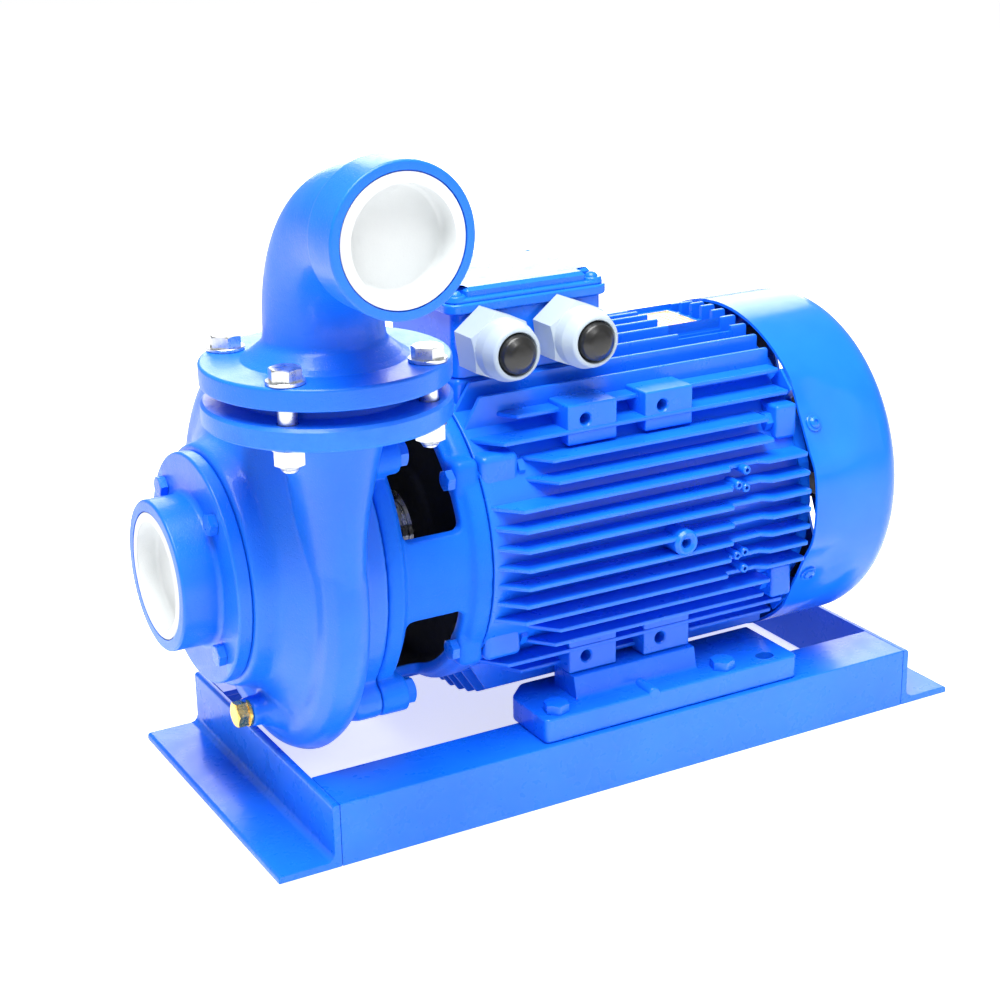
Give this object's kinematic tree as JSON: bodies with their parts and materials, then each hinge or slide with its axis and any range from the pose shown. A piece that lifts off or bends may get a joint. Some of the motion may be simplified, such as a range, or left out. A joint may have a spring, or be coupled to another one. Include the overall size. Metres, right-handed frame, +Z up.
{
  "type": "centrifugal water pump",
  "caption": "Close-coupled centrifugal water pump and finned electric motor on a welded angle base, with an elbow on its discharge flange and plugged ports.",
  "frame": {"origin": "centre of the bounding box's underside, on the ground under the base", "axes": "+X along the shaft from the suction port to the motor's fan, +Z up, -Y the side the discharge elbow faces"},
  "size_m": [0.5854, 0.351, 0.4718],
  "materials": {
    "blue_paint": "semi-gloss azure enamel over iron, steel and aluminium",
    "zinc_plate": "bright zinc plate",
    "brass": "plain brass",
    "bronze": "cast bronze",
    "steel": "machined steel",
    "carbon": "lapped carbon",
    "gasket": "flat fibre-rubber sheet",
    "white_plastic": "moulded white polyethylene",
    "laminations": "stacked electrical steel",
    "copper": "varnished copper wire",
    "fan_plastic": "black moulded plastic",
    "grey_plastic": "light grey moulded plastic",
    "black_rubber": "smooth black rubber",
    "board": "moulded terminal board with posts"
  },
  "bodies": {
    "pump": {"front_rail": "blue_paint", "rear_rail": "blue_paint", "pump_end_angle": "blue_paint", "motor_end_angle": "blue_paint", "front_foot": "blue_paint", "rear_foot": "blue_paint", "foot_bolt_1": "blue_paint", "foot_bolt_2": "blue_paint", "foot_bolt_3": "blue_paint", "foot_bolt_4": "blue_paint", "volute_casing": "blue_paint", "suction_cover": "blue_paint", "cover_bolt_1": "blue_paint", "cover_bolt_2": "blue_paint", "cover_bolt_3": "blue_paint", "cover_bolt_4": "blue_paint", "discharge_elbow": "blue_paint", "bracket": "blue_paint", "casing_screw_1": "blue_paint", "casing_screw_2": "blue_paint", "casing_screw_3": "blue_paint", "casing_screw_4": "blue_paint", "bracket_screw_1": "blue_paint", "bracket_screw_2": "blue_paint", "bracket_screw_3": "blue_paint", "bracket_screw_4": "blue_paint", "stator_housing": "blue_paint", "fan_end_shield": "blue_paint", "fan_cowl": "blue_paint", "terminal_box": "blue_paint", "terminal_lid": "blue_paint", "flange_bolt_1": "zinc_plate", "flange_bolt_2": "zinc_plate", "flange_bolt_3": "zinc_plate", "flange_bolt_4": "zinc_plate", "flange_nut_1": "zinc_plate", "flange_nut_2": "zinc_plate", "flange_nut_3": "zinc_plate", "flange_nut_4": "zinc_plate", "drain_plug": "brass", "nameplate": "brass", "front_bearing": "steel", "rear_bearing": "steel", "seal_seat": "carbon", "discharge_gasket": "gasket", "stator_core": "laminations", "stator_winding": "copper", "cable_gland_1": "grey_plastic", "cable_gland_2": "grey_plastic", "gland_plug_1": "black_rubber", "gland_plug_2": "black_rubber", "terminal_board": "board"},
    "rotor": {"shaft": "steel", "rotor_core": "laminations", "impeller": "bronze", "impeller_nut": "steel", "seal_head": "steel", "cooling_fan": "fan_plastic"},
    "suction_plug": {"suction_port_plug": "white_plastic"},
    "discharge_plug": {"discharge_port_plug": "white_plastic"}
  },
  "joints": [
    {"name": "shaft_spin", "type": "hinge", "parent": "pump", "child": "rotor", "pos_m": [0, 0.0395, 0.177], "axis": [1, 0, 0], "continuous": true},
    {"name": "suction_plug_pull", "type": "slide", "parent": "pump", "child": "suction_plug", "axis": [-1, 0, 0], "range_m": [0, 0.06]},
    {"name": "discharge_plug_pull", "type": "slide", "parent": "pump", "child": "discharge_plug", "axis": [0, -1, 0], "range_m": [0, 0.06]}
  ]
}
